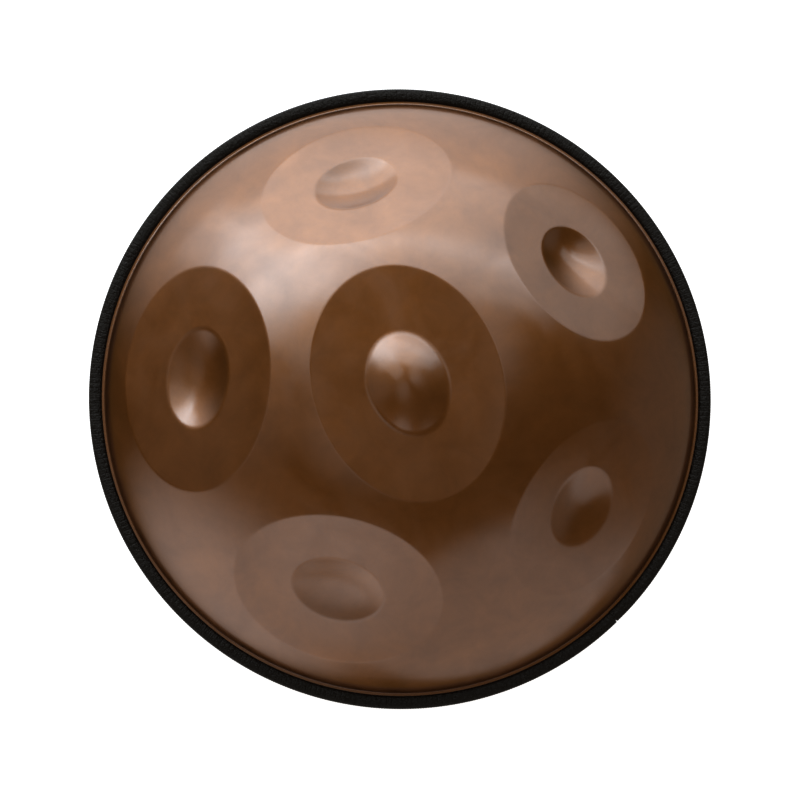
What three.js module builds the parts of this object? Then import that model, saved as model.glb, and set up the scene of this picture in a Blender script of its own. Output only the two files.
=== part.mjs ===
// Handpan: two pressed steel shells bonded flange to flange, with one length of U-section trim over
// their edge. Millimetres, +Z up. The origin is the middle of the flat ring that the instrument rests
// on; the ding, the central note, is at the top.

import * as THREE from 'three';
import { ConvexHull } from 'three/addons/math/ConvexHull.js';

// ---- Driving dimensions ----------------------------------------------------------------------------

const SHEET = 1.2;              // steel of both shells
const GLUE_THICKNESS = 0.6;     // adhesive between the flanges
const GLUE_INNER_RADIUS = 268;
const GLUE_OUTER_RADIUS = 275.5;

const DOME_RADIUS = 266;        // where each dome comes down to its flange
const FLANGE_RADIUS = 276.5;
const FLANGE_HEIGHT = 107;      // floor to the underside of the lower flange
const TOP_RISE = 116;           // upper flange to the crown, before the notes are pressed
const DOME_POWER = 2.15;        // a dome's height falls as (1 - (r/R)^power)^root
const DOME_ROOT = 0.74;
const EDGE_SLOPE = 2.5;         // how steeply the dome's curve is carried on past its radius
const FLANGE_FILLET = 0.8;      // height over which dome and flange are blended

const FIELD_EDGE_BLEND = 0.035; // softness of a note's outline, as a share of its sink
const DIMPLE_EDGE_BLEND = 0.12;

// The central note. Its long axis is at turn degrees from +X, and its dimple is pushed outwards.
// Fields and dimples get shallower outwards as 1 - share^power, and lean tilts a dimple along and
// across its long axis.
const DING = {
  bearing: 0, reach: 0, turn: 17.5, length: 207, width: 162, sink: 7.5, power: 2.7,
  dimple: { shift: 0, turn: 2, length: 89, width: 68, depth: -9.7, power: 1.7, lean: [0, 0] },
};

// The five outer notes: the compass bearing and plan radius of each centre, its axes along the dome
// (length runs round the instrument), how far it is turned, and its inward dimple.
const OUTER_NOTES = [
  { bearing: 177.5, reach: 185.5, turn: 2, length: 196, width: 147, sink: 9.2, power: 2.3,
    dimple: { shift: -4.5, turn: -4, length: 87, width: 60, depth: 8.3, power: 2, lean: [0.05, -0.5] } },
  { bearing: 103.5, reach: 188, turn: 6, length: 171, width: 125, sink: 6.5, power: 2,
    dimple: { shift: -2, turn: 2, length: 76, width: 54, depth: 6, power: 2.4, lean: [0.2, -0.5] } },
  { bearing: 37, reach: 191, turn: 0, length: 159, width: 127, sink: 7.5, power: 1.7,
    dimple: { shift: -4.5, turn: 1, length: 70, width: 57, depth: 7.1, power: 2, lean: [0.4, -0.4] } },
  { bearing: -34, reach: 190, turn: -1, length: 169, width: 124, sink: 6, power: 1.7,
    dimple: { shift: -5, turn: 9, length: 71, width: 56, depth: 4.6, power: 1.7, lean: [0.3, -0.5] } },
  { bearing: -108.5, reach: 188.5, turn: 6, length: 184, width: 139, sink: 7.5, power: 2,
    dimple: { shift: -3.5, turn: -2, length: 81, width: 58, depth: 3.9, power: 2.4, lean: [0, -0.5] } },
];

const PORT_RADIUS = 55;         // bore of the port under the instrument
const PORT_ROUNDING = 7;        // from the rest ring into the neck
const NECK_TOP = 46;            // height of the neck's end above the floor
const LIP_WIDTH = 4;            // outward lip at the neck's end
const REST_OUTER_RADIUS = 74;   // outside of the flat ring that stands on the floor

const TRIM_OUTER_RADIUS = 280;
const TRIM_WIDTH = 11.6;        // radially
const TRIM_HEIGHT = 9.2;
const TRIM_ROUNDING = 3.2;      // outer corners of the section
const TRIM_TIP_ROUNDING = 2.6;  // inner ends of its two legs
const SLOT_CLEARANCE = 0.3;     // above and below the flanges
const SLOT_RADIUS = 277.2;
const TRIM_JOINT = -46.4;       // bearing at which the two cut ends meet
const TRIM_JOINT_GAP = 1.2;

const CORE_THICKNESS = 0.8;     // steel strip inside the trim
const CORE_POCKET = 1.4;        // width of the pocket that it lies in
const CORE_POCKET_INNER_RADIUS = 271;
const CORE_POCKET_OUTER_RADIUS = 279;
const CORE_POCKET_HALF_HEIGHT = 3.6;
const CORE_POCKET_BEND = 1.6;   // outer bends of the pocket
const CORE_END_INSET = 1;       // the strip stops short of the cut ends

// ---- Fineness of the faceted model -----------------------------------------------------------------

const RIM_STEPS = 64;           // round the flanges, the trim and the glue
const BOTTOM_STEPS = 48;
const DOME_SPACING = 17;        // between points on the plain part of the upper dome
const PLAIN_RADIUS = 252;       // outside this the upper shell is rings of points
const RIM_RADII = [258, 261.5, 263.7, 265, 265.7, 266.6, FLANGE_RADIUS];

// ---- Derived heights -------------------------------------------------------------------------------

const LOWER_FLANGE_TOP = FLANGE_HEIGHT + SHEET;
const UPPER_FLANGE_BOTTOM = LOWER_FLANGE_TOP + GLUE_THICKNESS;
const UPPER_FLANGE_TOP = UPPER_FLANGE_BOTTOM + SHEET;
const RIM_MIDDLE = (FLANGE_HEIGHT + UPPER_FLANGE_TOP) / 2;
const BOTTOM_RISE = FLANGE_HEIGHT / domeShape(REST_OUTER_RADIUS);

const radians = THREE.MathUtils.degToRad;

// ---- Shape of the domes ----------------------------------------------------------------------------

/** A dome's height at plan radius r, as a share of its rise: 1 at the crown, 0 at DOME_RADIUS. */
function domeShape(r) {
  const q = r / DOME_RADIUS;
  return q < 1 ? Math.pow(1 - Math.pow(q, DOME_POWER), DOME_ROOT) : (1 - q) * EDGE_SLOPE;
}

/** The larger of two values, rounded where they differ by less than band. */
function softMax(a, b, band) {
  const near = Math.max(band - Math.abs(a - b), 0) / band;
  return Math.max(a, b) + near * near * band / 4;
}

/** Height above the flange of a dome without notes. */
function plainDome(r, rise) {
  return softMax(rise * domeShape(r), 0, FLANGE_FILLET);
}

/** A note with its own axes: across runs round the instrument, down runs towards the rim. */
function placeNote(note) {
  const angle = radians(note.bearing);
  const [c, s] = [Math.cos(angle), Math.sin(angle)];
  const drop = plainDome(note.reach - 1, TOP_RISE) - plainDome(note.reach + 1, TOP_RISE);
  const slope = note.reach > 0 ? Math.atan(drop / 2) : 0;
  return {
    ...note,
    slope,
    centre: new THREE.Vector3(note.reach * c, note.reach * s, plainDome(note.reach, TOP_RISE)),
    across: new THREE.Vector3(-s, c, 0),
    down: new THREE.Vector3(c * Math.cos(slope), s * Math.cos(slope), -Math.sin(slope)),
    outward: new THREE.Vector3(c * Math.sin(slope), s * Math.sin(slope), Math.cos(slope)),
  };
}

const NOTES = [DING, ...OUTER_NOTES].map(placeNote);

/** Along-dome distances u, v as shares (1 is the outline) of an ellipse's two half axes. */
function inEllipse(u, v, { length, width, turn, shift = 0 }) {
  const t = radians(turn);
  const along = u * Math.cos(t) - (v - shift) * Math.sin(t);
  const beside = u * Math.sin(t) + (v - shift) * Math.cos(t);
  return [2 * along / length, 2 * beside / width];
}

/** A dimple's ellipse lies on its note's, turned and shifted from it. */
function dimpleOf(note) {
  return { ...note.dimple, turn: note.turn + note.dimple.turn };
}

/** Height of the upper shell's outer skin above its flange. */
function upperSkin(x, y) {
  const plain = plainDome(Math.hypot(x, y), TOP_RISE);
  let height = plain;
  for (const note of NOTES) {
    const offset = new THREE.Vector3(x, y, plain).sub(note.centre);
    const u = offset.dot(note.across);
    const v = offset.dot(note.down);
    const field = Math.hypot(...inEllipse(u, v, note));
    const [along, beside] = inEllipse(u, v, dimpleOf(note));
    const { depth, power, lean } = note.dimple;
    const dish = softMax(1 - Math.pow(field, note.power), 0, FIELD_EDGE_BLEND);
    const bowl = softMax(1 - Math.pow(Math.hypot(along, beside), power), 0, DIMPLE_EDGE_BLEND);
    const sunk = note.sink * dish + depth * bowl * (1 + lean[0] * along + lean[1] * beside);
    height -= sunk / Math.cos(note.slope);
  }
  return height;
}

// ---- Points and triangles of the upper shell -------------------------------------------------------

/** Plan position of the point of the dome at along-dome distances u, v from a note's centre. */
function onDome(note, u, v) {
  const point = note.centre.clone().addScaledVector(note.across, u).addScaledVector(note.down, v);
  for (let i = 0; i < 8; i++) {
    const miss = plainDome(Math.hypot(point.x, point.y), TOP_RISE) - point.z;
    point.addScaledVector(note.outward, miss * Math.cos(note.slope));
  }
  return new THREE.Vector2(point.x, point.y);
}

/** Points on an ellipse of a note, at a share of its size. */
function ellipseRing(note, { length, width, turn, shift = 0 }, share, count) {
  const t = radians(turn);
  return Array.from({ length: count }, (_, i) => {
    const angle = 2 * Math.PI * i / count;
    const along = share * length / 2 * Math.cos(angle);
    const beside = share * width / 2 * Math.sin(angle);
    const u = along * Math.cos(t) + beside * Math.sin(t);
    const v = shift - along * Math.sin(t) + beside * Math.cos(t);
    return onDome(note, u, v);
  });
}

/** Points of one note: its middle and the rings of its dimple and field, close along each outline. */
function notePoints(note) {
  const dimple = dimpleOf(note);
  return [
    onDome(note, 0, dimple.shift),
    ...ellipseRing(note, dimple, 0.38, 10),
    ...ellipseRing(note, dimple, 0.72, 20),
    ...ellipseRing(note, dimple, 0.96, 30),
    ...ellipseRing(note, dimple, 1.05, 30),
    ...ellipseRing(note, note, 0.8, 28),
    ...ellipseRing(note, note, 0.985, 44),
    ...ellipseRing(note, note, 1.02, 44),
  ];
}

/** Is a plan point clear of every note by about half of DOME_SPACING? */
function clearOfNotes(x, y) {
  const plain = plainDome(Math.hypot(x, y), TOP_RISE);
  return NOTES.every((note) => {
    const offset = new THREE.Vector3(x, y, plain).sub(note.centre);
    const margin = 1 + DOME_SPACING / note.width;
    const [along, beside] = inEllipse(offset.dot(note.across), offset.dot(note.down), note);
    return Math.hypot(along, beside) > margin;
  });
}

function ringPoints(radius, count) {
  return Array.from({ length: count }, (_, i) => {
    const angle = 2 * Math.PI * i / count;
    return new THREE.Vector2(radius * Math.cos(angle), radius * Math.sin(angle));
  });
}

/** Points on the plain dome between the notes, in rings. */
function plainPoints() {
  const points = [];
  const rings = Math.floor(PLAIN_RADIUS / DOME_SPACING);
  for (let ring = 1; ring < rings; ring++) {
    const radius = PLAIN_RADIUS * ring / rings;
    const count = Math.round(2 * Math.PI * radius / DOME_SPACING);
    points.push(...ringPoints(radius, count).filter((p) => clearOfNotes(p.x, p.y)));
  }
  return points;
}

/** Delaunay triangles of plan points: the underside of the hull of the points on a paraboloid. */
function delaunay(points) {
  const lifted = points.map((p) => new THREE.Vector3(p.x, p.y, p.lengthSq() / DOME_RADIUS));
  const lid = new THREE.Vector3(0, 0, 4 * DOME_RADIUS);
  const indexOf = new Map(lifted.map((point, index) => [point, index]));
  const hull = new ConvexHull().setFromPoints([...lifted, lid]);
  return hull.faces
    .map((face) => [face.edge, face.edge.next, face.edge.prev].map((edge) => edge.head().point))
    .filter((corners) => !corners.includes(lid))
    .map((corners) => corners.map((corner) => indexOf.get(corner)).reverse());
}

/** Triangles that join ring upon ring of count points, whose first points are at the given starts. */
function ringTriangles(starts, count) {
  const triangles = [];
  for (let ring = 0; ring + 1 < starts.length; ring++) {
    for (let i = 0; i < count; i++) {
      const next = (i + 1) % count;
      const [a, b] = [starts[ring] + i, starts[ring] + next];
      const [c, d] = [starts[ring + 1] + i, starts[ring + 1] + next];
      triangles.push([a, c, d], [a, d, b]);
    }
  }
  return triangles;
}

/** Unit normal of the upper skin, from its slope over a short step. */
function upperNormal(x, y) {
  const step = 0.2;
  const dx = (upperSkin(x + step, y) - upperSkin(x - step, y)) / (2 * step);
  const dy = (upperSkin(x, y + step) - upperSkin(x, y - step)) / (2 * step);
  return new THREE.Vector3(-dx, -dy, 1).normalize();
}

function geometryOf(positions, triangles) {
  const geometry = new THREE.BufferGeometry();
  geometry.setAttribute('position', new THREE.Float32BufferAttribute(positions, 3));
  geometry.setIndex(triangles.flat());
  geometry.computeVertexNormals();
  return geometry;
}

/** The upper shell: an outer skin, the same skin one sheet thickness inside it, and the cut edge. */
function upperShellGeometry() {
  const edge = ringPoints(PLAIN_RADIUS, RIM_STEPS);
  const middle = [...NOTES.flatMap(notePoints), ...plainPoints()];
  const rims = RIM_RADII.map((radius) => ringPoints(radius, RIM_STEPS));
  const plan = [...edge, ...middle, ...rims.flat()];
  const rimStart = edge.length + middle.length;
  const starts = [0, ...RIM_RADII.map((_, ring) => rimStart + ring * RIM_STEPS)];
  const skin = [...delaunay([...edge, ...middle]), ...ringTriangles(starts, RIM_STEPS)];

  const outside = plan.map((p) => new THREE.Vector3(p.x, p.y, UPPER_FLANGE_TOP + upperSkin(p.x, p.y)));
  const inside = plan.map((p, i) => outside[i].clone().addScaledVector(upperNormal(p.x, p.y), -SHEET));
  const last = starts.at(-1);
  const cutEdge = ringTriangles([last, plan.length + last], RIM_STEPS);
  const insideSkin = skin.map((corners) => corners.map((i) => i + plan.length).reverse());
  const positions = [...outside, ...inside].flatMap((p) => p.toArray());
  return geometryOf(positions, [...skin, ...insideSkin, ...cutEdge]);
}

// ---- Rings -----------------------------------------------------------------------------------------

/** A closed outline of [radius, height] points, counterclockwise, turned once round Z. */
function ringGeometry(outline, steps) {
  const points = [...outline, outline[0]].map(([r, z]) => new THREE.Vector2(r, z));
  return new THREE.LatheGeometry(points, steps).rotateX(Math.PI / 2);
}

/** Points on an arc of an outline, both ends included. Angles in degrees. */
function arc(centreRadius, centreHeight, radius, from, to, steps) {
  return Array.from({ length: steps + 1 }, (_, i) => {
    const angle = radians(from + (to - from) * i / steps);
    return [centreRadius + radius * Math.cos(angle), centreHeight + radius * Math.sin(angle)];
  });
}

/** An open outline moved sideways by distance, to the right of the way it runs. */
function offsetOutline(outline, distance) {
  return outline.map(([r, z], i) => {
    const before = outline[Math.max(i - 1, 0)];
    const after = outline[Math.min(i + 1, outline.length - 1)];
    const way = [[r - before[0], z - before[1]], [after[0] - r, after[1] - z]]
      .filter(([dr, dz]) => Math.hypot(dr, dz) > 0)
      .map(([dr, dz]) => new THREE.Vector2(dz, -dr).normalize());
    const normal = way[0].clone().add(way.at(-1)).normalize();
    const miter = distance / normal.dot(way[0]);
    return [r + normal.x * miter, z + normal.y * miter];
  });
}

/** The lower shell's outer skin, from the flange's edge in to the end of the port's neck. */
function lowerOutline() {
  const domeRadii = [266.6, 265.7, 264.8, 263, 259, 252, 240, 222, 198, 170, 140, 110, 90];
  const skin = domeRadii.map((r) => [r, FLANGE_HEIGHT - plainDome(r, BOTTOM_RISE)]);
  const neckStart = PORT_RADIUS + PORT_ROUNDING;
  return [
    [FLANGE_RADIUS, FLANGE_HEIGHT],
    ...skin,
    [REST_OUTER_RADIUS, 0],
    ...arc(neckStart, PORT_ROUNDING, PORT_ROUNDING, 270, 180, 3),
    [PORT_RADIUS, NECK_TOP - LIP_WIDTH],
    ...arc(PORT_RADIUS + LIP_WIDTH, NECK_TOP - LIP_WIDTH, LIP_WIDTH, 150, 90, 2),
  ];
}

function lowerShellGeometry() {
  const outside = lowerOutline();
  const inside = offsetOutline(outside, SHEET);
  return ringGeometry([...outside, ...inside.reverse()].reverse(), BOTTOM_STEPS);
}

function glueGeometry() {
  return ringGeometry([
    [GLUE_INNER_RADIUS, LOWER_FLANGE_TOP],
    [GLUE_OUTER_RADIUS, LOWER_FLANGE_TOP],
    [GLUE_OUTER_RADIUS, UPPER_FLANGE_BOTTOM],
    [GLUE_INNER_RADIUS, UPPER_FLANGE_BOTTOM],
  ], RIM_STEPS);
}

// ---- Edge trim and its core ------------------------------------------------------------------------

/** A section in radius and height, swept round the rim from one cut end to the other. */
function sweptRound(section, gap) {
  const geometry = new THREE.ExtrudeGeometry(section, {
    depth: 1, steps: RIM_STEPS, bevelEnabled: false, curveSegments: 3,
  });
  const start = radians(TRIM_JOINT) - gap / 2 / TRIM_OUTER_RADIUS;
  const sweep = 2 * Math.PI - gap / TRIM_OUTER_RADIUS;
  const position = geometry.getAttribute('position');
  for (let i = 0; i < position.count; i++) {
    const radius = position.getX(i);
    const angle = start - sweep * position.getZ(i);
    position.setXYZ(i, radius * Math.cos(angle), radius * Math.sin(angle), position.getY(i));
  }
  geometry.computeVertexNormals();
  return geometry;
}

/** The core's pocket, drawn in by inset on every side: a U on its side, open towards the axis. */
function pocketOutline(inset) {
  const inner = CORE_POCKET_INNER_RADIUS + inset;
  const outer = CORE_POCKET_OUTER_RADIUS - inset;
  const thickness = CORE_POCKET - 2 * inset;
  const [low, high] = [-1, 1].map((side) => RIM_MIDDLE + side * (CORE_POCKET_HALF_HEIGHT - inset));
  const bend = CORE_POCKET_BEND - inset;
  return [
    [inner, low],
    ...arc(outer - bend, low + bend, bend, 270, 360, 2),
    ...arc(outer - bend, high - bend, bend, 0, 90, 2),
    [inner, high],
    [inner, high - thickness],
    [outer - thickness, high - thickness],
    [outer - thickness, low + thickness],
    [inner, low + thickness],
  ].map(([r, z]) => new THREE.Vector2(r, z));
}

function trimSection() {
  const inner = TRIM_OUTER_RADIUS - TRIM_WIDTH;
  const half = TRIM_HEIGHT / 2;
  const slotHalf = (UPPER_FLANGE_TOP - FLANGE_HEIGHT) / 2 + SLOT_CLEARANCE;
  const [corner, tip] = [TRIM_ROUNDING, TRIM_TIP_ROUNDING];
  const outline = [
    ...arc(inner + tip, RIM_MIDDLE - half + tip, tip, 180, 270, 2),
    ...arc(TRIM_OUTER_RADIUS - corner, RIM_MIDDLE - half + corner, corner, 270, 360, 3),
    ...arc(TRIM_OUTER_RADIUS - corner, RIM_MIDDLE + half - corner, corner, 0, 90, 3),
    ...arc(inner + tip, RIM_MIDDLE + half - tip, tip, 90, 180, 2),
    [inner, RIM_MIDDLE + slotHalf],
    [SLOT_RADIUS, RIM_MIDDLE + slotHalf],
    [SLOT_RADIUS, RIM_MIDDLE - slotHalf],
    [inner, RIM_MIDDLE - slotHalf],
  ];
  const section = new THREE.Shape(outline.map(([r, z]) => new THREE.Vector2(r, z)));
  section.holes.push(new THREE.Path(pocketOutline(0)));
  return section;
}

// ---- Assembly --------------------------------------------------------------------------------------

const bronzeSteel = new THREE.MeshStandardMaterial({ color: 0x84604a, metalness: 0.9, roughness: 0.38 });
const adhesive = new THREE.MeshStandardMaterial({ color: 0x8c8474, metalness: 0, roughness: 0.6 });
const blackTrim = new THREE.MeshStandardMaterial({ color: 0x141416, metalness: 0, roughness: 0.55 });
const coreSteel = new THREE.MeshStandardMaterial({ color: 0x8f9398, metalness: 1, roughness: 0.4 });

const coreSection = new THREE.Shape(pocketOutline((CORE_POCKET - CORE_THICKNESS) / 2));

const group = new THREE.Group();

function addPart(name, geometry, material) {
  const mesh = new THREE.Mesh(geometry, material);
  mesh.name = name;
  group.add(mesh);
}

addPart('top_shell', upperShellGeometry(), bronzeSteel);
addPart('bottom_shell', lowerShellGeometry(), bronzeSteel);
addPart('flange_glue', glueGeometry(), adhesive);
addPart('edge_trim', sweptRound(trimSection(), TRIM_JOINT_GAP), blackTrim);
addPart('trim_steel_core', sweptRound(coreSection, TRIM_JOINT_GAP + 2 * CORE_END_INSET), coreSteel);

export default group;
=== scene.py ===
"""Handpan: the looks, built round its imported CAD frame.

Shapes are worked out in millimetres, as the CAD's are, and turned to metres when a mesh is made.
"""
import math

import bpy
import numpy as np
from mathutils import Matrix, Vector
from mathutils.geometry import delaunay_2d_cdt, tessellate_polygon


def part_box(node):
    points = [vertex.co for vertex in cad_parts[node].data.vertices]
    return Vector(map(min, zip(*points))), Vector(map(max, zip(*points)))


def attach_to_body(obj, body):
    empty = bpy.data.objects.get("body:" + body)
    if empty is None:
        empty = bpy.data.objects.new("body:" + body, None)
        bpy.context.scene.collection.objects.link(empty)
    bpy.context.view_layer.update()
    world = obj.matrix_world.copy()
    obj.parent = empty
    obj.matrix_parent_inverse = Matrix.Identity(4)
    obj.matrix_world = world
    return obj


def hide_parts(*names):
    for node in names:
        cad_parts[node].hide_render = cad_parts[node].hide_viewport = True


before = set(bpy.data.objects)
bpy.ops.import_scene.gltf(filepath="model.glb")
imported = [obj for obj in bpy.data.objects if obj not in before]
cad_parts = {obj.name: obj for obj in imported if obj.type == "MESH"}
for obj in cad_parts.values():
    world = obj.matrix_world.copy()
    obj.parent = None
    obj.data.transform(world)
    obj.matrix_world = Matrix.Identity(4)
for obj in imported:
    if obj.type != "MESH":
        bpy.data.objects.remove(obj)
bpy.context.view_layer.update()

MM = 0.001

# ---- Sizes shared with the CAD, in millimetres -----------------------------------------------------

SHEET = 1.2
DOME_RADIUS = 266
FLANGE_RADIUS = 276.5
TOP_RISE = 116
DOME_POWER = 2.15
DOME_ROOT = 0.74
EDGE_SLOPE = 2.5          # of the dome's curve, carried on past its radius
FLANGE_FILLET = 0.8
FIELD_EDGE_BLEND = 0.035  # softness of an outline, as a share of its depth
DIMPLE_EDGE_BLEND = 0.12

# A note: the bearing and plan radius of its centre, and its oval field, which is sunk most in the
# middle and less outwards as 1 - share ** power. Its dimple lies on it, turned and shifted from it,
# has a depth that falls off in the same way (inwards, so the ding's is negative) and leans.
DING = dict(
    bearing=0, reach=0, turn=17.5, length=207, width=162, sink=7.5, power=2.7,
    dimple=dict(shift=0, turn=2, length=89, width=68, depth=-9.7, power=1.7, lean=(0, 0)),
)
OUTER_NOTES = [
    dict(bearing=177.5, reach=185.5, turn=2, length=196, width=147, sink=9.2, power=2.3,
         dimple=dict(shift=-4.5, turn=-4, length=87, width=60, depth=8.3, power=2, lean=(0.05, -0.5))),
    dict(bearing=103.5, reach=188, turn=6, length=171, width=125, sink=6.5, power=2,
         dimple=dict(shift=-2, turn=2, length=76, width=54, depth=6, power=2.4, lean=(0.2, -0.5))),
    dict(bearing=37, reach=191, turn=0, length=159, width=127, sink=7.5, power=1.7,
         dimple=dict(shift=-4.5, turn=1, length=70, width=57, depth=7.1, power=2, lean=(0.4, -0.4))),
    dict(bearing=-34, reach=190, turn=-1, length=169, width=124, sink=6, power=1.7,
         dimple=dict(shift=-5, turn=9, length=71, width=56, depth=4.6, power=1.7, lean=(0.3, -0.5))),
    dict(bearing=-108.5, reach=188.5, turn=6, length=184, width=139, sink=7.5, power=2,
         dimple=dict(shift=-3.5, turn=-2, length=81, width=58, depth=3.9, power=2.4, lean=(0, -0.5))),
]

PORT_RADIUS = 55
PORT_ROUNDING = 7         # from the ring that stands on the floor into the neck
NECK_TOP = 46             # height of the neck's end above the floor
LIP_WIDTH = 4             # outward lip at the neck's end
REST_OUTER_RADIUS = 74

TRIM_WIDTH = 11.6
TRIM_ROUNDING = 3.2       # outer corners of the section
TRIM_TIP_ROUNDING = 2.6   # inner ends of its two legs
SLOT_RADIUS = 277.2
SLOT_HALF_HEIGHT = 1.8
TRIM_JOINT = -46.4        # bearing at which the two cut ends meet
CORE_POCKET = 1.4
CORE_POCKET_INNER_RADIUS = 271
CORE_POCKET_OUTER_RADIUS = 279
CORE_POCKET_HALF_HEIGHT = 3.6
CORE_POCKET_BEND = 1.6

# Heights and outer radius come from the frame itself.
trim_low, trim_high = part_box("edge_trim")
FLANGE_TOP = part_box("flange_glue")[1].z / MM + SHEET
FLANGE_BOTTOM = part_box("flange_glue")[0].z / MM - SHEET
RIM_MIDDLE = (trim_low.z + trim_high.z) / 2 / MM
TRIM_HALF_HEIGHT = (trim_high.z - trim_low.z) / 2 / MM
TRIM_OUTER_RADIUS = trim_high.x / MM


# ---- Shape of the domes ----------------------------------------------------------------------------

def dome_share(r):
    """A dome's height at plan radius r, as a share of its rise."""
    q = np.asarray(r, float) / DOME_RADIUS
    inside = np.clip(1 - np.clip(q, 0, 1) ** DOME_POWER, 0, 1) ** DOME_ROOT
    return np.where(q < 1, inside, (1 - q) * EDGE_SLOPE)


def soft_max(a, b, band):
    """The larger of two values, rounded where they differ by less than band."""
    near = np.maximum(band - np.abs(a - b), 0) / band
    return np.maximum(a, b) + near * near * band / 4


def plain_dome(r, rise):
    """Height above its flange of a dome without notes."""
    return soft_max(rise * dome_share(r), 0, FLANGE_FILLET)


def place_note(note):
    """A note with its own axes: across runs round the instrument, down towards the rim."""
    c, s = math.cos(math.radians(note["bearing"])), math.sin(math.radians(note["bearing"]))
    reach = note["reach"]
    drop = float(plain_dome(reach - 1, TOP_RISE) - plain_dome(reach + 1, TOP_RISE))
    slope = math.atan(drop / 2) if reach else 0
    return dict(
        note,
        slope=slope,
        centre=np.array([reach * c, reach * s, float(plain_dome(reach, TOP_RISE))]),
        across=np.array([-s, c, 0]),
        down=np.array([c * math.cos(slope), s * math.cos(slope), -math.sin(slope)]),
        outward=np.array([c * math.sin(slope), s * math.sin(slope), math.cos(slope)]),
        dimple=dict(note["dimple"], turn=note["turn"] + note["dimple"]["turn"]),
    )


NOTES = [place_note(note) for note in [DING] + OUTER_NOTES]


def in_ellipse(u, v, ellipse):
    """Along-dome distances u, v as shares (1 is the outline) of an ellipse's two half axes."""
    t = math.radians(ellipse["turn"])
    v = v - ellipse.get("shift", 0)
    along = u * math.cos(t) - v * math.sin(t)
    beside = u * math.sin(t) + v * math.cos(t)
    return 2 * along / ellipse["length"], 2 * beside / ellipse["width"]


def note_coordinates(x, y, note):
    """Plan points as along-dome distances from a note's centre, round and down the dome."""
    plain = plain_dome(np.hypot(x, y), TOP_RISE)
    offset = np.stack([x, y, plain], -1) - note["centre"]
    return offset @ note["across"], offset @ note["down"]


def note_shares(x, y, note):
    """How far out plan points are in a note's field and in its dimple."""
    u, v = note_coordinates(x, y, note)
    return np.hypot(*in_ellipse(u, v, note)), np.hypot(*in_ellipse(u, v, note["dimple"]))


def sunk_by(x, y, note):
    """How far a note sinks the skin, along the dome's normal. Its dimple leans as it was pressed."""
    u, v = note_coordinates(x, y, note)
    dimple = note["dimple"]
    field = np.hypot(*in_ellipse(u, v, note))
    along, beside = in_ellipse(u, v, dimple)
    bowl = soft_max(1 - np.hypot(along, beside) ** dimple["power"], 0, DIMPLE_EDGE_BLEND)
    lean = 1 + dimple["lean"][0] * along + dimple["lean"][1] * beside
    dish = soft_max(1 - field ** note["power"], 0, FIELD_EDGE_BLEND)
    return note["sink"] * dish + dimple["depth"] * bowl * lean


def upper_skin(x, y):
    """Height of the upper shell's outer skin above its flange."""
    sunk = sum(sunk_by(x, y, note) / math.cos(note["slope"]) for note in NOTES)
    return plain_dome(np.hypot(x, y), TOP_RISE) - sunk


def upper_normals(x, y):
    """Unit normals of the outer skin, from its slope over a short step."""
    step = 0.05
    dx = (upper_skin(x + step, y) - upper_skin(x - step, y)) / (2 * step)
    dy = (upper_skin(x, y + step) - upper_skin(x, y - step)) / (2 * step)
    normals = np.stack([-dx, -dy, np.ones_like(dx)], -1)
    return normals / np.linalg.norm(normals, axis=-1, keepdims=True)


# ---- Meshes ----------------------------------------------------------------------------------------

def new_piece(name, points, faces, material, sharp_degrees=35):
    """A smooth-shaded mesh object from points in millimetres."""
    mesh = bpy.data.meshes.new(name)
    mesh.from_pydata((np.asarray(points) * MM).tolist(), [], faces)
    mesh.validate()
    mesh.shade_smooth()
    mesh.set_sharp_from_angle(angle=math.radians(sharp_degrees))
    piece = bpy.data.objects.new(name, mesh)
    bpy.context.scene.collection.objects.link(piece)
    mesh.materials.append(material)
    return piece


def band_faces(low, high, count):
    """Quads between two rings of count points, whose first points are number low and high."""
    faces = []
    for i in range(count):
        j = (i + 1) % count
        faces.append((low + i, high + i, high + j, low + j))
    return faces


def ring_faces(rings, count, start=0, closed=False):
    """Quads between ring upon ring of count points, and from the last to the first if closed."""
    faces = []
    for ring in range(rings if closed else rings - 1):
        faces.extend(band_faces(start + ring * count, start + (ring + 1) % rings * count, count))
    return faces


def ring_points(radius, count):
    """Plan points on a circle round the axis."""
    angle = np.arange(count) * 2 * math.pi / count
    return np.stack([radius * np.cos(angle), radius * np.sin(angle)], -1)


# ---- Upper shell -----------------------------------------------------------------------------------

SKIN_FINENESS = 1       # of the outer skin's points
INNER_FINENESS = 0.45   # of the inner skin's
PLAIN_SPACING = 4.2     # between points on the plain dome, at a fineness of 1

# Rings of points round a note, as shares of its field or dimple.
FIELD_RINGS = dict(inner=0.34, outer=1.06, spacing=0.05)
DIMPLE_RINGS = dict(inner=0.08, outer=1.13, spacing=0.08)
CLEAR_OF_FIELD = 1.09   # plain points start here
CLEAR_OF_DIMPLE = 1.16  # and the field's points here
BEND_REACH = 0.75       # how much of a softened outline's blend gets close rings
BEND_RINGS = 9

PLAIN_RADIUS = 252      # outside this the skin is rings of points
RIM_POINTS = 420        # in each of them
RIM_STEPS = [           # the rings, from DOME_RADIUS, closest where the dome turns into the flange
    -12.5, -11, -9.5, -8, -6.8, -5.7, -4.7, -3.9, -3.2, -2.6, -2.1, -1.7, -1.35, -1.05, -0.8,
    -0.6, -0.45, -0.3, -0.15, 0, 0.15, 0.3, 0.5, 0.75, 1, 2.5, 6,
]
RIM_RADII = [DOME_RADIUS + step for step in RIM_STEPS] + [FLANGE_RADIUS]


def on_dome(note, u, v):
    """Plan positions of the points of the dome at along-dome distances u, v from a note's centre."""
    points = note["centre"] + np.outer(u, note["across"]) + np.outer(v, note["down"])
    for _ in range(12):
        miss = plain_dome(np.hypot(points[:, 0], points[:, 1]), TOP_RISE) - points[:, 2]
        points = points + np.outer(miss * math.cos(note["slope"]), note["outward"])
    return points[:, :2]


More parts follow.
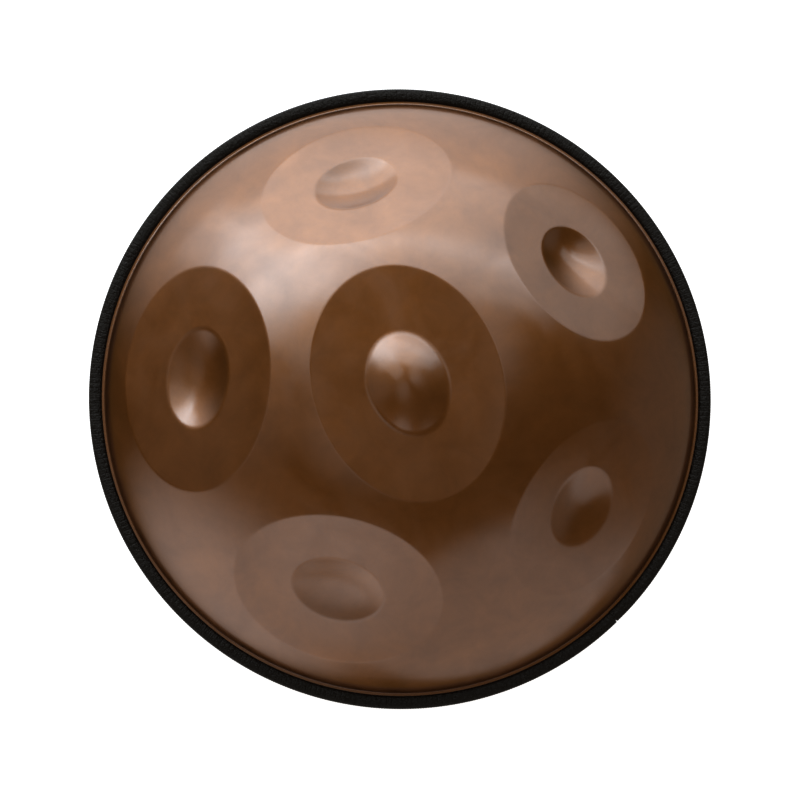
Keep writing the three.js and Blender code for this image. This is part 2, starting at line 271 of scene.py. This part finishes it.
def ellipse_ring(note, ellipse, share, count):
    """Plan points on an ellipse of a note, at a share of its size."""
    t = math.radians(ellipse["turn"])
    angle = np.arange(count) * 2 * math.pi / count
    along = share * ellipse["length"] / 2 * np.cos(angle)
    beside = share * ellipse["width"] / 2 * np.sin(angle)
    u = along * math.cos(t) + beside * math.sin(t)
    v = ellipse.get("shift", 0) - along * math.sin(t) + beside * math.cos(t)
    return on_dome(note, u, v)


def shares_round_edge(blend, fine, inner, outer, spacing):
    """Shares from inner to outer, close together where the softened outline bends."""
    bend = np.linspace(-BEND_REACH, BEND_REACH, BEND_RINGS) * blend + 1
    step = spacing / fine
    steps_in = max(1, round((bend[0] - inner) / step))
    steps_out = max(1, round((outer - bend[-1]) / step))
    return np.concatenate([
        np.linspace(inner, bend[0], steps_in, endpoint=False),
        bend,
        np.linspace(bend[-1], outer, steps_out + 1)[1:],
    ])


def note_plan(note, fine):
    """Plan points of one note: rings in its field, and rings and a middle point in its dimple."""
    dimple = note["dimple"]
    field_shares = shares_round_edge(FIELD_EDGE_BLEND, fine, **FIELD_RINGS)
    field_count = round(fine * note["length"])
    field = np.concatenate([ellipse_ring(note, note, share, field_count) for share in field_shares])
    clear = note_shares(field[:, 0], field[:, 1], note)[1] >= CLEAR_OF_DIMPLE
    plan = [field[clear]]
    for share in shares_round_edge(DIMPLE_EDGE_BLEND, fine, **DIMPLE_RINGS):
        count = round(fine * 1.5 * dimple["length"] * max(share, 0.25))
        plan.append(ellipse_ring(note, dimple, share, max(6, count)))
    plan.append(ellipse_ring(note, dimple, 0, 1))
    return np.concatenate(plan)


def clear_of_notes(points):
    """The plan points that are outside every note's rings."""
    clear = np.ones(len(points), bool)
    for note in NOTES:
        clear &= note_shares(points[:, 0], points[:, 1], note)[0] > CLEAR_OF_FIELD
    return points[clear]


def upper_plan(fine):
    """Plan points of the skin inside PLAIN_RADIUS, without the edge ring."""
    spacing = PLAIN_SPACING / fine
    rings = int(PLAIN_RADIUS / spacing)
    radii = [PLAIN_RADIUS * ring / rings for ring in range(1, rings)]
    plain = [ring_points(radius, round(2 * math.pi * radius / spacing)) for radius in radii]
    notes = [note_plan(note, fine) for note in NOTES]
    return np.concatenate([*notes, clear_of_notes(np.concatenate(plain))])


def upper_skin_mesh(fine, depth):
    """Points and upward faces of the skin that lies depth under the outer one, flange edge last."""
    inside = np.concatenate([ring_points(PLAIN_RADIUS, RIM_POINTS), upper_plan(fine)])
    rims = [ring_points(radius, RIM_POINTS) for radius in RIM_RADII]
    x, y = np.concatenate([inside, *rims]).T
    points = np.stack([x, y, FLANGE_TOP + upper_skin(x, y)], -1) - depth * upper_normals(x, y)
    triangles = delaunay_2d_cdt([Vector(p) for p in inside], [], [], 0, 1e-5)[2]
    rim = len(inside)
    faces = [tuple(triangle) for triangle in triangles]
    faces.extend(band_faces(0, rim, RIM_POINTS))
    faces.extend(ring_faces(len(rims), RIM_POINTS, rim))
    return points, faces


def upper_shell(material):
    """Outer skin, inner skin one sheet thickness inside it, and the cut edge of the flange."""
    outer, faces = upper_skin_mesh(SKIN_FINENESS, depth=0)
    inner, inner_faces = upper_skin_mesh(INNER_FINENESS, depth=SHEET)
    faces.extend(tuple(len(outer) + i for i in face[::-1]) for face in inner_faces)
    points = np.concatenate([outer, inner])
    faces.extend(band_faces(len(outer) - RIM_POINTS, len(points) - RIM_POINTS, RIM_POINTS))
    return new_piece("top_shell_skin", points, faces, material)


# ---- Lower shell -----------------------------------------------------------------------------------

LOWER_POINTS = 256      # round the axis
LOWER_SPACING = 4.0     # between the rings of its dome


def arc(centre_radius, centre_height, radius, start, end, steps):
    """Points on an arc of an outline, both ends included. Angles in degrees."""
    angle = np.radians(np.linspace(start, end, steps + 1))
    return [(centre_radius + radius * c, centre_height + radius * s)
            for c, s in zip(np.cos(angle), np.sin(angle))]


def offset_outline(outline, distance):
    """An open outline moved sideways by distance, to the right of the way it runs."""
    outline = np.array(outline, float)
    way = np.diff(outline, axis=0)
    side = np.stack([way[:, 1], -way[:, 0]], -1) / np.linalg.norm(way, axis=1)[:, None]
    before = np.concatenate([side[:1], side])
    after = np.concatenate([side, side[-1:]])
    normal = before + after
    normal /= np.linalg.norm(normal, axis=1)[:, None]
    miter = distance / (normal * before).sum(1)
    return outline + normal * miter[:, None]


def lower_outline():
    """The outer skin, from the flange's edge in to the end of the port's neck."""
    rise = FLANGE_BOTTOM / float(dome_share(REST_OUTER_RADIUS))
    bend = RIM_RADII[-3::-1]    # without the two outermost rings, where the flange is flat
    radii = [*bend, *np.arange(PLAIN_RADIUS, REST_OUTER_RADIUS + 1, -LOWER_SPACING)]
    skin = [(r, FLANGE_BOTTOM - float(plain_dome(r, rise))) for r in radii]
    neck_start = PORT_RADIUS + PORT_ROUNDING
    return [
        (FLANGE_RADIUS, FLANGE_BOTTOM),
        *skin,
        (REST_OUTER_RADIUS, 0),
        *arc(neck_start, PORT_ROUNDING, PORT_ROUNDING, 270, 180, 10),
        (PORT_RADIUS, (PORT_ROUNDING + NECK_TOP - LIP_WIDTH) / 2),
        *arc(PORT_RADIUS + LIP_WIDTH, NECK_TOP - LIP_WIDTH, LIP_WIDTH, 180, 90, 8),
    ]


def revolve(outline, count):
    """Points and faces of a closed outline, clockwise in radius and height, turned round Z."""
    outline = np.array(outline, float)
    angle = np.arange(count) * 2 * math.pi / count
    points = np.stack([
        np.outer(outline[:, 0], np.cos(angle)),
        np.outer(outline[:, 0], np.sin(angle)),
        np.repeat(outline[:, 1:], count, axis=1),
    ], -1).reshape(-1, 3)
    return points, ring_faces(len(outline), count, closed=True)


def lower_shell(material):
    """The lower shell, with its flange and its port, as one sheet turned round the axis."""
    outside = np.array(lower_outline())
    inside = offset_outline(outside, SHEET)
    points, faces = revolve(np.concatenate([outside, inside[::-1]]), LOWER_POINTS)
    return new_piece("bottom_shell_skin", points, faces, material)


# ---- Edge trim and its core ------------------------------------------------------------------------

RIB_COUNT = 760
STEPS_PER_RIB = 2
RIB_HEIGHT = 0.2
INNER_RIB_HEIGHT = 0.5    # the ribs are deepest on the inner rounding
TRIM_CROWN = 0.4          # how far the trim's top and underside bulge
CROWN_STEPS = 6
ROUNDING_STEPS = 5
SLOT_CHAMFER = 0.4        # at the mouth of the trim's slot
JOINT_GAP_INNER = 0.15    # between the cut ends at the trim's inner edge
JOINT_GAP_OUTER = 1.5     # and at its outer edge
JOINT_STEP = 0.25         # how far one end lies nearer the axis than the other
JOINT_STEP_REACH = 1 / 60  # share of the way round over which it comes back out

POCKET_BEND_STEPS = 6
CORE_CLEARANCE = 0.3      # round the core in its pocket
CORE_GAP_INNER = 2.3      # between the core's ends, which stop short of the trim's
CORE_GAP_OUTER = 4.0
CORE_STEPS = 360


def pocket_outline(inset):
    """The core's pocket, drawn in by inset on every side: a U on its side, open inwards."""
    inner, outer = CORE_POCKET_INNER_RADIUS + inset, CORE_POCKET_OUTER_RADIUS - inset
    thickness, bend = CORE_POCKET - 2 * inset, CORE_POCKET_BEND - inset
    half = CORE_POCKET_HALF_HEIGHT - inset
    return np.array([
        (inner, -half),
        *arc(outer - bend, bend - half, bend, 270, 360, POCKET_BEND_STEPS),
        *arc(outer - bend, half - bend, bend, 0, 90, POCKET_BEND_STEPS),
        (inner, half),
        (inner, half - thickness),
        (outer - thickness, half - thickness),
        (outer - thickness, thickness - half),
        (inner, thickness - half),
    ]) + (0, RIM_MIDDLE)


def trim_outline():
    """The trim's section, counterclockwise, and how deep the ribs are at each of its points."""
    inner, half = TRIM_OUTER_RADIUS - TRIM_WIDTH, TRIM_HALF_HEIGHT
    corner, tip = TRIM_ROUNDING, TRIM_TIP_ROUNDING
    edge = half - TRIM_CROWN
    share = np.linspace(-1, 1, CROWN_STEPS + 1)[1:-1]
    flat = (inner + tip + TRIM_OUTER_RADIUS - corner) / 2 + share * (TRIM_WIDTH - tip - corner) / 2
    crown = half - TRIM_CROWN * share ** 2
    ribbed = [
        *arc(inner + tip, tip - edge, tip, 190, 262, ROUNDING_STEPS),
        *zip(flat, -crown),
        *arc(TRIM_OUTER_RADIUS - corner, corner - edge, corner, 278, 360, ROUNDING_STEPS),
        *arc(TRIM_OUTER_RADIUS - corner, edge - corner, corner, 0, 82, ROUNDING_STEPS),
        *zip(flat[::-1], crown),
        *arc(inner + tip, edge - tip, tip, 98, 170, ROUNDING_STEPS),
    ]
    slot = [
        (inner + SLOT_CHAMFER, SLOT_HALF_HEIGHT),
        (SLOT_RADIUS, SLOT_HALF_HEIGHT),
        (SLOT_RADIUS, -SLOT_HALF_HEIGHT),
        (inner + SLOT_CHAMFER, -SLOT_HALF_HEIGHT),
    ]
    outline = np.array(ribbed + slot) + (0, RIM_MIDDLE)
    share_in = np.clip(1 - (outline[:, 0] - inner) / (2 * tip), 0, 1)
    take = RIB_HEIGHT + (INNER_RIB_HEIGHT - RIB_HEIGHT) * share_in
    take[len(ribbed):] = 0
    take[[0, len(ribbed) - 1]] = 0
    return outline, take


def sweep(loops, gap_inner, gap_outer, steps, relief=None):
    """Sweeps a section, an outline and its holes, round the rim and caps its two cut ends.

    The gap between the ends widens from gap_inner to gap_outer outwards. relief(index, loop, t)
    gives the points of loop number index at share t of the way round."""
    points, faces, first, last, start = [], [], [], [], 0
    shares = np.linspace(0, 1, steps + 1)
    for index, loop in enumerate(loops):
        rows = []
        for t in shares:
            section = relief(index, loop, t) if relief else loop
            share_out = (section[:, 0] - (TRIM_OUTER_RADIUS - TRIM_WIDTH)) / TRIM_WIDTH
            gap = (gap_inner + (gap_outer - gap_inner) * share_out ** 3) / TRIM_OUTER_RADIUS
            angle = math.radians(TRIM_JOINT) + gap / 2 + (2 * math.pi - gap) * t
            rows.append(np.stack([
                section[:, 0] * np.cos(angle), section[:, 0] * np.sin(angle), section[:, 1],
            ], -1))
        count = len(loop)
        points.append(np.concatenate(rows))
        faces.extend(ring_faces(steps + 1, count, start))
        first.extend(range(start, start + count))
        start += count * (steps + 1)
        last.extend(range(start - count, start))
    caps = tessellate_polygon([[Vector((r, z, 0)) for r, z in loop] for loop in loops])
    faces.extend(tuple(first[i] for i in cap) for cap in caps)
    faces.extend(tuple(last[i] for i in cap[::-1]) for cap in caps)
    return np.concatenate(points), faces


def edge_trim(material):
    """The trim in one length, with its cross ribs and its core's pocket."""
    outline, take = trim_outline()
    middle = outline.mean(0)
    outward = outline - (middle[0], RIM_MIDDLE)
    outward /= np.linalg.norm(outward, axis=1)[:, None]

    def relief(index, loop, t):
        near_end = max(0.0, 1 - t / JOINT_STEP_REACH)
        section = loop - (JOINT_STEP * near_end ** 2, 0)
        if index:
            return section
        rib = 0.5 + 0.5 * math.cos(2 * math.pi * RIB_COUNT * t)
        return section - outward * (rib * take)[:, None]

    loops = [outline, pocket_outline(0)[::-1]]
    points, faces = sweep(loops, JOINT_GAP_INNER, JOINT_GAP_OUTER, RIB_COUNT * STEPS_PER_RIB, relief)
    return new_piece("edge_trim_ribbed", points, faces, material, sharp_degrees=55)


def trim_core(material):
    """The steel strip, free on every side in the trim's pocket."""
    loops = [pocket_outline(CORE_CLEARANCE)]
    points, faces = sweep(loops, CORE_GAP_INNER, CORE_GAP_OUTER, CORE_STEPS)
    return new_piece("trim_core_strip", points, faces, material)


# ---- Materials -------------------------------------------------------------------------------------

def new_material(name):
    """A new material, its node tree and its shader."""
    material = bpy.data.materials.new(name)
    material.use_nodes = True
    return material, material.node_tree, material.node_tree.nodes["Principled BSDF"]


def add(tree, kind, inputs=None, **settings):
    """A node with its settings and its inputs' values or links."""
    node = tree.nodes.new(kind)
    for key, value in settings.items():
        setattr(node, key, value)
    for key, value in (inputs or {}).items():
        if isinstance(value, bpy.types.NodeSocket):
            tree.links.new(value, node.inputs[key])
        else:
            node.inputs[key].default_value = value
    return node


def noise(tree, scale, detail=3.0, roughness=0.5, distortion=0.0):
    """Noise fixed to the object, scale in features per metre."""
    where = add(tree, "ShaderNodeTexCoord").outputs["Object"]
    return add(tree, "ShaderNodeTexNoise", {
        "Vector": where, "Scale": scale, "Detail": detail, "Roughness": roughness,
        "Distortion": distortion,
    }).outputs["Fac"]


def spread(tree, value, low, high, to_low, to_high):
    """value from low..high, mapped to to_low..to_high."""
    return add(tree, "ShaderNodeMapRange", {
        "Value": value, "From Min": low, "From Max": high, "To Min": to_low, "To Max": to_high,
    }).outputs["Result"]


def ramp(tree, value, stops):
    """A colour ramp from (position, (r, g, b)) stops."""
    node = add(tree, "ShaderNodeValToRGB", {"Fac": value})
    elements = node.color_ramp.elements
    for index, (position, colour) in enumerate(stops):
        element = elements[index] if index < 2 else elements.new(position)
        element.position = position
        element.color = (*colour, 1)
    return node.outputs["Color"]


def bronze_steel(name):
    """Heat-coloured steel: bronze-brown metal under a clear glossy oxide.

    Its colour is faintly blotched, its gloss is smudged and it has a fine grain."""
    material, tree, shader = new_material(name)
    blotch = noise(tree, 26, detail=9, roughness=0.72, distortion=0.4)
    smudge = noise(tree, 17, detail=5, roughness=0.6, distortion=1.2)
    grain = noise(tree, 700, detail=3)
    colour = ramp(tree, blotch, [
        (0.30, (0.244, 0.096, 0.024)),
        (0.70, (0.316, 0.128, 0.033)),
    ])
    tree.links.new(colour, shader.inputs["Base Color"])
    tree.links.new(spread(tree, smudge, 0.3, 0.7, 0.43, 0.57), shader.inputs["Roughness"])
    tree.links.new(spread(tree, smudge, 0.3, 0.7, 0.14, 0.26), shader.inputs["Coat Roughness"])
    bump = add(tree, "ShaderNodeBump", {"Height": grain, "Strength": 0.2, "Distance": 0.0004})
    tree.links.new(bump.outputs["Normal"], shader.inputs["Normal"])
    shader.inputs["Metallic"].default_value = 1
    shader.inputs["Coat Weight"].default_value = 1
    shader.inputs["Coat IOR"].default_value = 2.1
    return material


def trim_rubber():
    """Black rubber: pebbled, with fine shallow grooves across it besides the moulded ribs."""
    material, tree, shader = new_material("trim_rubber")
    grain = noise(tree, 430, detail=3, roughness=0.65)
    patches = noise(tree, 60, detail=2)
    tree.links.new(ramp(tree, patches, [(0.3, (0.001, 0.001, 0.001)), (0.7, (0.003, 0.003, 0.003))]),
                   shader.inputs["Base Color"])
    tree.links.new(spread(tree, grain, 0.3, 0.7, 0.24, 0.40), shader.inputs["Roughness"])
    where = add(tree, "ShaderNodeTexCoord").outputs["Object"]
    turns = add(tree, "ShaderNodeTexGradient", {"Vector": where}, gradient_type="RADIAL").outputs["Fac"]
    ribs = add(tree, "ShaderNodeMath", {0: turns, 1: RIB_COUNT}, operation="MULTIPLY").outputs["Value"]
    groove = add(tree, "ShaderNodeMath", {0: ribs, 1: 1}, operation="PINGPONG").outputs["Value"]
    grooves = add(tree, "ShaderNodeBump", {
        "Height": spread(tree, groove, 0.0, 0.35, 0.0, 1.0), "Strength": 0.5, "Distance": 0.0006,
    })
    pebbles = add(tree, "ShaderNodeBump", {
        "Height": grain, "Strength": 1.0, "Distance": 0.0014, "Normal": grooves.outputs["Normal"],
    })
    tree.links.new(pebbles.outputs["Normal"], shader.inputs["Normal"])
    shader.inputs["Specular Tint"].default_value = (1, 0.87, 0.76, 1)
    return material


def adhesive():
    """Cured epoxy: dull, slightly cloudy."""
    material, tree, shader = new_material("adhesive")
    cloud = noise(tree, 120, detail=3)
    tree.links.new(ramp(tree, cloud, [(0.3, (0.40, 0.35, 0.27)), (0.7, (0.55, 0.50, 0.42))]),
                   shader.inputs["Base Color"])
    tree.links.new(spread(tree, cloud, 0.3, 0.7, 0.4, 0.6), shader.inputs["Roughness"])
    return material


def core_steel():
    """Plain spring steel."""
    material, tree, shader = new_material("core_steel")
    streaks = noise(tree, 400, detail=2)
    tree.links.new(ramp(tree, streaks, [(0.3, (0.42, 0.43, 0.45)), (0.7, (0.55, 0.56, 0.58))]),
                   shader.inputs["Base Color"])
    tree.links.new(spread(tree, streaks, 0.3, 0.7, 0.3, 0.45), shader.inputs["Roughness"])
    shader.inputs["Metallic"].default_value = 1
    return material


def floor_material():
    """Plain and pale, bright enough to show no hard shadow."""
    material, tree, shader = new_material("floor")
    tone = noise(tree, 3, detail=2)
    tree.links.new(ramp(tree, tone, [(0.3, (0.50, 0.50, 0.50)), (0.7, (0.52, 0.52, 0.52))]),
                   shader.inputs["Base Color"])
    shader.inputs["Roughness"].default_value = 0.7
    shader.inputs["Emission Color"].default_value = (1, 1, 1, 1)
    shader.inputs["Emission Strength"].default_value = 0.9
    return material


# ---- The object ------------------------------------------------------------------------------------

def attach(piece, node):
    """A fine piece takes the place of a CAD node."""
    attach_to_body(piece, "root")
    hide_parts(node)


attach(upper_shell(bronze_steel("bronze_steel")), "top_shell")
attach(lower_shell(bronze_steel("bronze_steel_underside")), "bottom_shell")
attach(edge_trim(trim_rubber()), "edge_trim")
attach(trim_core(core_steel()), "trim_steel_core")
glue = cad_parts["flange_glue"]
glue.data.materials.clear()
glue.data.materials.append(adhesive())


# ---- Studio ----------------------------------------------------------------------------------------

def direction(bearing, from_zenith):
    """Unit vector at a bearing from +X and an angle down from straight up, in degrees."""
    b, z = math.radians(bearing), math.radians(from_zenith)
    return Vector((math.sin(z) * math.cos(b), math.sin(z) * math.sin(b), math.cos(z)))


# Softboxes: bearing and angle from the zenith, half width and half height as seen from the
# instrument (over their distance), and radiance.
SOFTBOXES = {
    "key_softbox": (133.5, 44, 0.21, 0.50, 0.76),
    "high_softbox": (128, 43, 0.37, 0.16, 0.79),
    "side_softbox": (136, 69, 0.14, 0.37, 0.79),
    "back_softbox": (90, 37.5, 0.84, 0.16, 1.28),
    "low_softbox": (82, 58, 1.24, 0.29, 0.85),
}
SOFTBOX_DISTANCE = 3.0  # in metres, from the point that they face
SOFTBOX_AIM = Vector((0, 0, 0.15))
SOFTBOX_COLOUR = (0.81, 0.99, 1.15)

# Round glows of the room: bearing, angle from the zenith, where they start to fade and how far
# they fade (all in degrees), and radiance.
GLOWS = [
    (100, 85, 1, 69, 1.48),
    (228, 84, 7, 38, 1.07),
    (298, 75, 29, 10, 0.62),
    (255, 48, 1, 17, 0.83),
    (212, 11, 3, 14, 0.40),
    (41, 24, 1, 15, 0.62),
    (179, 43, 2, 21, 0.23),
    (352, 95, 22, 15, 0.18),
    (0, 180, 20, 45, 0.6),
]
GLOW_COLOUR = (0.90, 1.01, 1.13)
ROOM_COLOUR = (0.186, 0.124, 0.043)
BACKDROP_COLOUR = (1, 1, 1, 1)  # what is seen past the floor; it lights nothing

FLOOR_SIZE = 12          # in metres
CAMERA_DISTANCE = 1.997  # in metres
CAMERA_TARGET = (-1.7, -4.4, FLANGE_TOP)


def softbox(name, bearing, from_zenith, half_width, half_height, radiance):
    """An area light that faces the instrument's middle."""
    light = bpy.data.lights.new(name, "AREA")
    light.shape = "RECTANGLE"
    light.size = 2 * half_width * SOFTBOX_DISTANCE
    light.size_y = 2 * half_height * SOFTBOX_DISTANCE
    light.energy = radiance * math.pi * light.size * light.size_y
    light.color = SOFTBOX_COLOUR
    lamp = bpy.data.objects.new(name, light)
    way = direction(bearing, from_zenith)
    lamp.location = SOFTBOX_AIM + way * SOFTBOX_DISTANCE
    lamp.rotation_euler = way.to_track_quat("Z", "Y").to_euler()
    bpy.context.scene.collection.objects.link(lamp)


def studio_world():
    """A dark room with soft glows, behind a plain pale backdrop."""
    world = bpy.data.worlds.new("studio")
    world.use_nodes = True
    tree = world.node_tree
    where = add(tree, "ShaderNodeTexCoord").outputs["Generated"]
    total = Vector(ROOM_COLOUR)
    for bearing, from_zenith, inner, fade, radiance in GLOWS:
        near = add(tree, "ShaderNodeVectorMath", {0: where, 1: direction(bearing, from_zenith)},
                   operation="DOT_PRODUCT").outputs["Value"]
        glow = add(tree, "ShaderNodeMapRange", {
            "Value": near, "From Min": math.cos(math.radians(inner + fade)),
            "From Max": math.cos(math.radians(inner)), "To Min": 0, "To Max": radiance,
        }, interpolation_type="SMOOTHSTEP").outputs["Result"]
        total = add(tree, "ShaderNodeVectorMath", {0: glow, 1: GLOW_COLOUR, 2: total},
                    operation="MULTIPLY_ADD").outputs["Vector"]
    room = tree.nodes["Background"]
    tree.links.new(total, room.inputs["Color"])
    backdrop = add(tree, "ShaderNodeBackground", {"Color": BACKDROP_COLOUR})
    seen = add(tree, "ShaderNodeLightPath").outputs["Is Camera Ray"]
    shown = add(tree, "ShaderNodeMixShader", {
        0: seen, 1: room.outputs["Background"], 2: backdrop.outputs["Background"],
    })
    tree.links.new(shown.outputs["Shader"], tree.nodes["World Output"].inputs["Surface"])
    bpy.context.scene.world = world


def studio_floor():
    """A square floor that the instrument's gloss doesn't mirror."""
    mesh = bpy.data.meshes.new("floor")
    half = FLOOR_SIZE / 2
    corners = [(-half, -half, 0), (half, -half, 0), (half, half, 0), (-half, half, 0)]
    mesh.from_pydata(corners, [], [(0, 1, 2, 3)])
    floor = bpy.data.objects.new("floor", mesh)
    mesh.materials.append(floor_material())
    bpy.context.scene.collection.objects.link(floor)
    floor.visible_glossy = False


def studio_camera():
    """A 100 mm lens two metres above the rim, leaning a little towards the player's side."""
    camera = bpy.data.cameras.new("camera")
    camera.lens = 100
    camera.sensor_width = 36
    eye = bpy.data.objects.new("camera", camera)
    target = Vector(CAMERA_TARGET) * MM
    back = direction(bearing=-117, from_zenith=6)
    right = Vector((0, 1, 0)).cross(back).normalized()
    eye.location = target + CAMERA_DISTANCE * back
    eye.rotation_euler = Matrix((right, back.cross(right), back)).transposed().to_euler()
    bpy.context.scene.collection.objects.link(eye)
    bpy.context.scene.camera = eye


for name, setting in SOFTBOXES.items():
    softbox(name, *setting)
studio_world()
studio_floor()
studio_camera()
scene = bpy.context.scene
scene.view_settings.view_transform = "Standard"
scene.view_settings.gamma = 0.7
